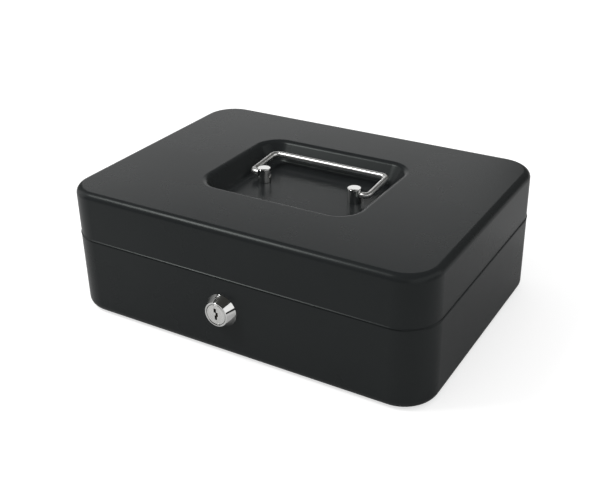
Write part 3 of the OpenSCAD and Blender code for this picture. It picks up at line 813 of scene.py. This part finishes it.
# %% Lid shell
floor_edges = list(pan_floor.edges)
lower_edges = open_loop(lid_bm, lower)
top_edges = open_loop(lid_bm, top)
lip_edges = open_loop(lid_bm, pan_lip)
band_edges = open_loop(lid_bm, band)
foot_edges = open_loop(lid_bm, wall_foot)
bridge(lid_bm, lower_edges, band_edges)
bridge(lid_bm, band_edges, foot_edges)
bridge(lid_bm, foot_edges, top_edges)
for edge in band_edges + foot_edges:
    edge.smooth = False
bridge(lid_bm, top_edges, lip_edges)
bridge(lid_bm, lip_edges, floor_edges)
bmesh.ops.recalc_face_normals(lid_bm, faces=lid_bm.faces)

round_fold(lid_bm, floor_edges, PAN_FLOOR_R * half_fold, FLOOR_FOLD_STEPS)
round_fold(lid_bm, lip_edges, lip_in)
round_fold(lid_bm, top_edges, LID_EDGE_R)
print("lid: faces cut back at the hinge", cut_back(lid_bm, RELIEF_Y, HINGE_Z + RELIEF, above=False))
lid_shell = finished("lid_shell_sheet", lid_bm, PAINT, "lid", ["lid_shell"])
thicken(lid_shell)

# %% [markdown]
# ## The base
# The base is the same idea upside down: a floor, walls up to the shoulder, and an upstand
# that steps inwards so that the lid can drop over it. The shoulder turns in along two arcs,
# the second one tighter, and ends in a ledge. The lid's edge hangs over that ledge and
# shades it, which leaves the dark line under the bright one.

# %% Base shell
# (from, to, radius): angles in degrees from the upright wall, radius in mm
SHOULDER_ARCS = ((0, 62, 1.2), (62, 80, 0.8))
ARC_STEPS = 5
LEDGE_RISE = 0.03 * MM      # the ledge behind the shoulder still climbs a little
LOCK_HOLE_R = 8.15 * MM
LOCK_HOLE_DEPTH = 6 * MM    # the drill's length, through the wall and out on both sides


def arc_walk(arcs, steps):
    """Insets and heights, in metres, of points along a chain of arcs that starts upright."""
    inset, height, points = 0.0, 0.0, [(0.0, 0.0)]
    for start, end, radius in arcs:
        for i in range(steps):
            a = math.radians(start + (end - start) * i / steps)
            b = math.radians(start + (end - start) * (i + 1) / steps)
            inset += radius * MM * (math.cos(a) - math.cos(b))
            height += radius * MM * (math.sin(b) - math.sin(a))
            points.append((inset, height))
    return points


base_bm = bmesh.new()
floor_face = outline(base_bm, BASE_W, BASE_D, BASE_CORNER, 0.0)
bottom_edges = list(floor_face.edges)
last_edges = bottom_edges
shoulder = arc_walk(SHOULDER_ARCS, ARC_STEPS)
for inset, height in shoulder + [(LIP_IN, shoulder[-1][1] + LEDGE_RISE)]:
    face = outline(base_bm, BASE_W, BASE_D, BASE_CORNER, WALL_TOP_Z + height, inset)
    next_edges = open_loop(base_bm, face)
    bridge(base_bm, last_edges, next_edges)
    last_edges = next_edges
rim = outline(base_bm, BASE_W, BASE_D, BASE_CORNER, LIP_TOP, LIP_IN)
bridge(base_bm, last_edges, open_loop(base_bm, rim))
bmesh.ops.recalc_face_normals(base_bm, faces=base_bm.faces)
round_fold(base_bm, bottom_edges, BASE_EDGE_R)
print("base: faces cut back at the hinge", cut_back(base_bm, RELIEF_Y, HINGE_Z - RELIEF, above=True))
base_shell = finished("base_shell_sheet", base_bm, PAINT, "base", ["base_shell"])
thicken(base_shell)
drill(base_shell, (LOCK_X, LOCK_Y, LOCK_Z), (0, 1, 0), LOCK_HOLE_R, LOCK_HOLE_DEPTH)

# %% [markdown]
# ## The lock
# The collar and the plug are turned parts, so each is a profile of radius and height that
# is spun round the lock's axis, which makes every step and chamfer in one go. The profile
# is drawn in the lock's own frame, where z comes out of the wall, and then stood in place
# with one matrix.

# %% Spinning a profile
SHARP_TURN = 30             # degrees; a profile that turns by more gets a crisp edge


def to_lock(bm):
    """Stands a shape made about z, with its front up, in the front wall."""
    stand = Matrix.Translation((LOCK_X, LOCK_Y, LOCK_Z)) @ Matrix.Rotation(math.radians(90), 4, "X")
    bmesh.ops.transform(bm, verts=bm.verts, matrix=stand)


def spun(profile, steps, closed):
    """A bmesh of a profile [(radius, height), ...] in mm, spun round Z."""
    bm = bmesh.new()
    points = [bm.verts.new((r * MM, 0, z * MM)) for r, z in profile]
    edges = [bm.edges.new(pair) for pair in zip(points, points[1:])]
    if closed:
        edges.append(bm.edges.new((points[-1], points[0])))
    bmesh.ops.spin(
        bm, geom=points + edges, cent=(0, 0, 0), axis=(0, 0, 1), dvec=(0, 0, 0),
        angle=2 * math.pi, steps=steps, use_merge=True, use_duplicate=False,
    )
    bmesh.ops.remove_doubles(bm, verts=bm.verts, dist=WELD)
    return bm


def arc(centre, radius, start, end, steps):
    """Points of an arc in a profile, angles in degrees from the radial direction."""
    return [
        (centre[0] + radius * math.cos(math.radians(a)), centre[1] + radius * math.sin(math.radians(a)))
        for a in (start + (end - start) * i / steps for i in range(steps + 1))
    ]


def smooth_profile(piece, angle=SHARP_TURN):
    """Marks an edge sharp where its two faces turn by more than the angle, and others smooth."""
    mesh = piece.data
    bm = bmesh.new()
    bm.from_mesh(mesh)
    for edge in bm.edges:
        if len(edge.link_faces) == 2:
            edge.smooth = edge.calc_face_angle() < math.radians(angle)
    bm.to_mesh(mesh)
    bm.free()


# %% Lock collar
# The lock's sizes are in mm, with the wall's outer face at 0
LOCK_STEPS = 128
COLLAR_R, COLLAR_FACE_R, COLLAR_H = 10.6, 7.9, 6.0
COLLAR_RIM = 0.25           # the low upright rim against the wall
COLLAR_ROUND = 0.35
COLLAR_SHARP_TURN = 20
BARREL_R, BORE_R, BARREL_BACK = 8.0, 6.75, -17.0
BARREL_CHAMFER = 0.4
BORE_MOUTH = ((0.3, 0.0), (0.08, 0.1), (0.0, 0.35))     # out from the bore, down from the face

collar_profile = [(BORE_R, BARREL_BACK)]
collar_profile += [(BARREL_R - BARREL_CHAMFER, BARREL_BACK), (BARREL_R, BARREL_BACK + BARREL_CHAMFER)]
collar_profile += [(BARREL_R, 0.0), (COLLAR_R, 0.0), (COLLAR_R, COLLAR_RIM)]
round_centre = (COLLAR_FACE_R - COLLAR_ROUND, COLLAR_H - COLLAR_ROUND)
collar_profile += arc(round_centre, COLLAR_ROUND, start=20, end=90, steps=4)
collar_profile += [(BORE_R + out, COLLAR_H - down) for out, down in BORE_MOUTH]
collar_bm = spun(collar_profile, LOCK_STEPS, closed=True)
to_lock(collar_bm)
collar = finished("lock_collar", collar_bm, CHROME, "base", ["lock_housing"])
smooth_profile(collar, COLLAR_SHARP_TURN)

# %% Lock plug
PLUG_R, PLUG_FRONT, PLUG_BACK = 6.5, 5.9, -17.3
PLUG_ROUND = 0.3

plug_profile = [(0.0, PLUG_BACK), (PLUG_R - PLUG_ROUND, PLUG_BACK), (PLUG_R, PLUG_BACK + PLUG_ROUND)]
round_centre = (PLUG_R - PLUG_ROUND, PLUG_FRONT - PLUG_ROUND)
plug_profile += arc(round_centre, PLUG_ROUND, start=0, end=90, steps=4)
plug_profile += [(0.0, PLUG_FRONT)]
plug_bm = spun(plug_profile, LOCK_STEPS, closed=False)
to_lock(plug_bm)
plug = finished("lock_plug_turned", plug_bm, TURNED, "lock_core", ["lock_plug"])

# %% [markdown]
# ### The keyway
# The keyway steps to and fro across the plug, which is what keeps a wrong key out. It is
# three bars with soft corners that are cut out of the plug one after the other, each a
# little to one side of the next.

# %% Keyway
KEYWAY_W = 1.7
KEYWAY_DEPTH = 14.0
KEYWAY_OUT = 1              # how far the cutting bars stand out of the face
KEYWAY_ROUND = 0.25
# (place across the face, low end, high end)
KEYWAY_BARS = ((-0.55, 1.2, 4.0), (0.6, -1.1, 1.6), (-0.1, -3.5, -0.7))

for bar_x, bar_low, bar_high in KEYWAY_BARS:
    bar_bm = bmesh.new()
    size = Matrix.Diagonal((KEYWAY_W * MM, (bar_high - bar_low) * MM, KEYWAY_DEPTH * MM, 1))
    bar_z = (PLUG_FRONT + KEYWAY_OUT) * MM - KEYWAY_DEPTH / 2 * MM
    place = Matrix.Translation((bar_x * MM, (bar_low + bar_high) / 2 * MM, bar_z))
    bmesh.ops.create_cube(bar_bm, size=1, matrix=place @ size)
    long_edges = [e for e in bar_bm.edges if abs(e.verts[0].co.z - e.verts[1].co.z) > MM]
    bmesh.ops.bevel(
        bar_bm, geom=long_edges, offset=KEYWAY_ROUND * MM, segments=3, profile=0.5,
        affect="EDGES", material=-1,
    )
    to_lock(bar_bm)
    cut(plug, cutter_from("keyway_bar", bar_bm))
smooth_profile(plug)
print("plug faces after the keyway:", len(plug.data.polygons))

# %% [markdown]
# ## The handle
# Two turned posts carry a bail bent from one wire. The wire is a circle that travels:
# extruded where it runs straight and spun where it bends. Each move keeps the ring of edges
# that it ends on, and the next one starts from there. A curve with a round section would
# be shorter to write, but this gives the true quarter bends that a bending tool makes.

# %% Posts
# The handle's sizes are in mm
POST_X, POST_Y, POST_R, POST_H = 33.5, 3.5, 4.4, 9.5
POST_STEPS = 96
POST_CHAMFER = 0.25
POST_ROUND = 0.45
PIVOT_Z = 78.0
POST_HOLE_R = 2.05
POST_HOLE_LENGTH = 12


def make_post(name, node, side):
    """A post on one side of the pan, cross-drilled for the bail: side is 1 or -1."""
    profile = [(0.0, 0.0), (POST_R - POST_CHAMFER, 0.0), (POST_R, POST_CHAMFER)]
    round_centre = (POST_R - POST_ROUND, POST_H - POST_ROUND)
    profile += arc(round_centre, POST_ROUND, start=0, end=90, steps=5)
    profile += [(0.0, POST_H)]
    bm = spun(profile, POST_STEPS, closed=False)
    bmesh.ops.translate(bm, verts=bm.verts, vec=(side * POST_X * MM, POST_Y * MM, PAN_Z))
    post = finished(name, bm, CHROME, "lid", [node])
    pivot = (side * POST_X * MM, POST_Y * MM, PIVOT_Z * MM)
    drill(post, pivot, (1, 0, 0), POST_HOLE_R * MM, POST_HOLE_LENGTH * MM)
    smooth_profile(post)


make_post("handle_post_left_turned", "handle_post_left", -1)
make_post("handle_post_right_turned", "handle_post_right", 1)

# %% A wire that travels
WIRE_SIDES, BEND_STEPS = 32, 12


def edges_of(geom):
    return [g for g in geom if isinstance(g, bmesh.types.BMEdge)]


class Wire:
    """A round wire that grows from its last ring of edges."""

    def __init__(self, start, heading, radius):
        self.bm = bmesh.new()
        self.place, self.heading = Vector(start), Vector(heading)
        turn = Vector((0, 0, 1)).rotation_difference(self.heading).to_matrix().to_4x4()
        made = bmesh.ops.create_circle(
            self.bm, cap_ends=True, segments=WIRE_SIDES, radius=radius,
            matrix=Matrix.Translation(self.place) @ turn,
        )
        self.ring = unique(e for v in made["verts"] for e in v.link_edges)

    def straight(self, length):
        made = bmesh.ops.extrude_edge_only(self.bm, edges=self.ring)["geom"]
        points = [g for g in made if isinstance(g, bmesh.types.BMVert)]
        bmesh.ops.translate(self.bm, verts=points, vec=self.heading * length)
        self.ring = [e for e in edges_of(made) if all(v in points for v in e.verts)]
        self.place += self.heading * length

    def bend(self, radius, turn):
        """A quarter bend in the level plane: turn is 1 to the left and -1 to the right."""
        side = Vector((0, 0, 1)).cross(self.heading) * turn
        points = unique(v for e in self.ring for v in e.verts)
        made = bmesh.ops.spin(
            self.bm, geom=points + self.ring, cent=self.place + side * radius, axis=(0, 0, 1),
            dvec=(0, 0, 0), angle=turn * math.pi / 2, steps=BEND_STEPS, use_duplicate=False,
        )["geom_last"]
        self.ring = edges_of(made)
        self.place += (side + self.heading) * radius
        self.heading = side


# %% Bail
WIRE_R = 2.0
ARM_X, REACH = 42.9, 29.0   # from the middle to an arm, and from the pivot to the grip
FOOT_BEND, GRIP_BEND = 3.5, 4.5
FOOT_END = 29.7             # from the middle to the wire's ends, inside the posts
BAIL_ANGLE = math.radians(4)
BAIL_SHARP_TURN = 50

foot_run = (ARM_X - FOOT_BEND - FOOT_END) * MM
arm_run = (REACH - FOOT_BEND - GRIP_BEND) * MM
bail = Wire((-FOOT_END * MM, 0, 0), (-1, 0, 0), WIRE_R * MM)
bail.straight(foot_run)
bail.bend(FOOT_BEND * MM, -1)
bail.straight(arm_run)
bail.bend(GRIP_BEND * MM, -1)
bail.straight(2 * (ARM_X - GRIP_BEND) * MM)
bail.bend(GRIP_BEND * MM, -1)
bail.straight(arm_run)
bail.bend(FOOT_BEND * MM, -1)
bail.straight(foot_run)
bmesh.ops.edgeloop_fill(bail.bm, edges=bail.ring)
print("the wire ends at", [round(v / MM, 2) for v in bail.place])
lean = Matrix.Translation((0, POST_Y * MM, PIVOT_Z * MM)) @ Matrix.Rotation(BAIL_ANGLE, 4, "X")
bmesh.ops.transform(bail.bm, verts=bail.bm.verts, matrix=lean)
bail_piece = finished("handle_bail_wire", bail.bm, WIRE_CHROME, "handle", ["handle_bail"])
smooth_profile(bail_piece, BAIL_SHARP_TURN)

# %% [markdown]
# ## The coin tray
# The tray's shape is already in the frame, but as loose triangles with crisp edges. A
# moulded part has soft ones. So a copy of the node is merged, its flat areas are
# dissolved into single faces, and a Bevel modifier rounds what is left.

# %% Coin tray
TRAY_WELD = 2e-6            # the node's triangles meet only to this many metres
TRAY_FLAT = math.radians(0.5)
TRAY_ROUND = 0.5 * MM
TRAY_EDGE = math.radians(40)

tray_bm = bmesh.new()
tray_bm.from_mesh(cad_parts["coin_tray"].data)
bmesh.ops.remove_doubles(tray_bm, verts=tray_bm.verts, dist=TRAY_WELD)
bmesh.ops.dissolve_limit(
    tray_bm, angle_limit=TRAY_FLAT, verts=tray_bm.verts, edges=tray_bm.edges,
    use_dissolve_boundaries=False,
)
tray = finished("coin_tray_moulded", tray_bm, PLASTIC, "tray", ["coin_tray"], clean=False)
tray_soft = tray.modifiers.new("soft_edges", "BEVEL")
tray_soft.width = TRAY_ROUND
tray_soft.segments = 3
tray_soft.limit_method = "ANGLE"
tray_soft.angle_limit = TRAY_EDGE
tray_flat = tray.modifiers.new("flat_normals", "WEIGHTED_NORMAL")
tray_flat.weight = FLAT_WEIGHT
